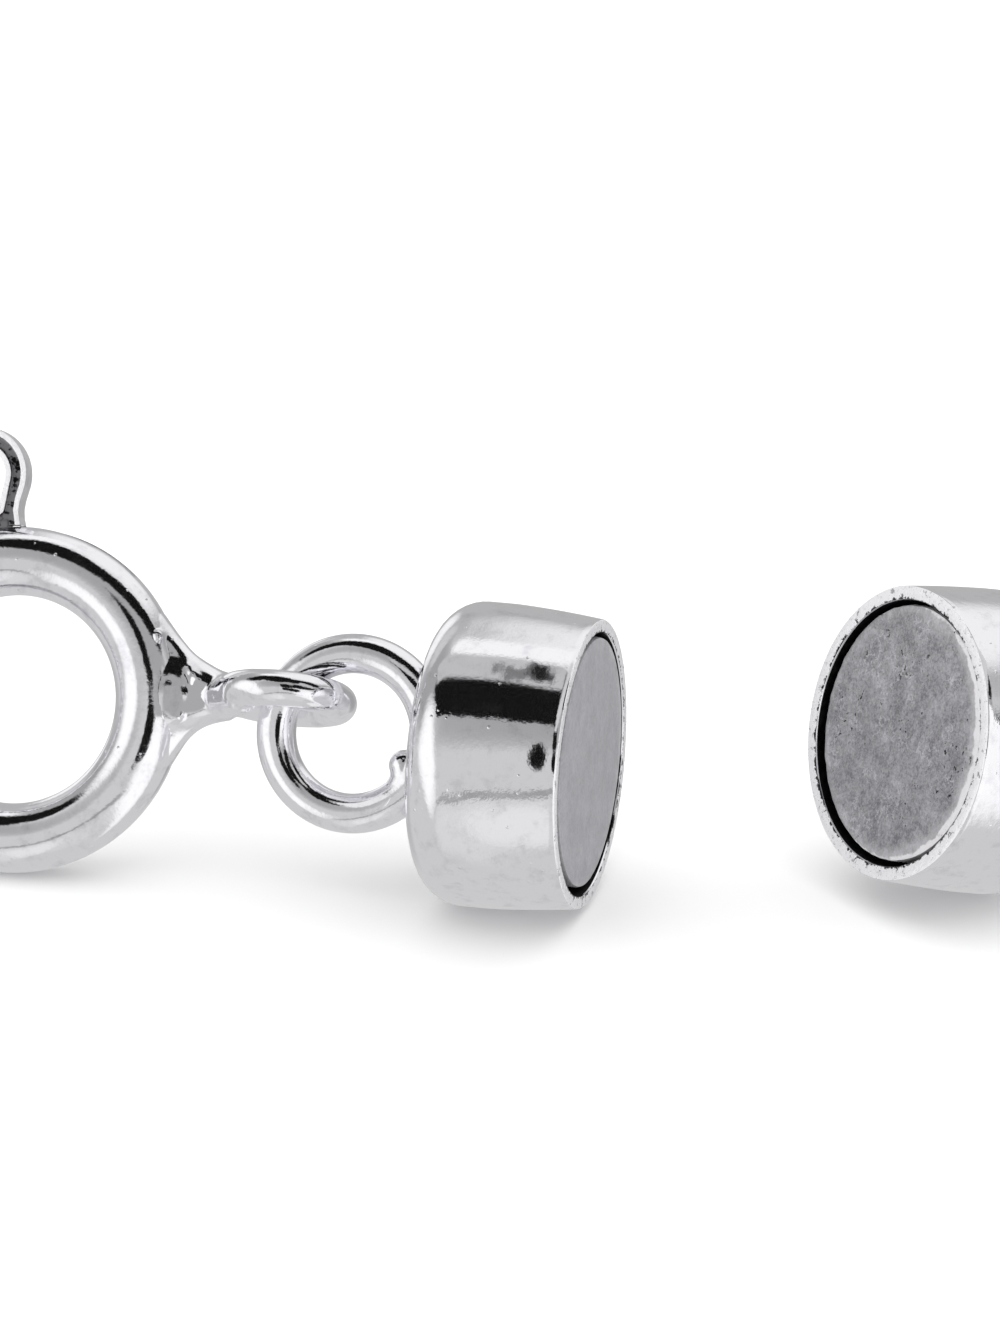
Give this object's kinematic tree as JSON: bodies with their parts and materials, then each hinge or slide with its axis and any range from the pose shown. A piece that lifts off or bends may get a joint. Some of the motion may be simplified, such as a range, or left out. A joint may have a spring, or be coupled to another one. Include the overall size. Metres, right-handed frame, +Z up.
{
  "type": "magnetic clasp with spring ring",
  "caption": "Magnetic clasp for a chain, laid out unfastened: a spring ring linked to one round magnet cup, and the facing magnet cup with a soldered ring.",
  "frame": {"origin": "on the resting surface, under the middle of the row", "axes": "+X along the row from the spring ring to the facing cup's ring, +Y away from the viewer, +Z up"},
  "size_m": [0.0268, 0.0085, 0.0084],
  "materials": {
    "polished_silver": "polished",
    "plated_magnet": "satin, slightly pitted"
  },
  "bodies": {
    "clasp": {"spring_ring": "polished_silver", "ring_side_cup": "polished_silver", "ring_side_magnet": "plated_magnet", "free_side_cup": "polished_silver", "free_side_magnet": "plated_magnet"},
    "bolt": {"bolt": "polished_silver", "trigger": "polished_silver"}
  },
  "joints": [
    {"name": "bolt_slide", "type": "hinge", "parent": "clasp", "child": "bolt", "pos_m": [-0.01, 0.0018, 0.00328], "axis": [0.2227, 0.8932, -0.3907], "range_deg": [0, 47.5], "stiffness_Nm_per_rad": 0.002, "springref_deg": -17.19}
  ]
}
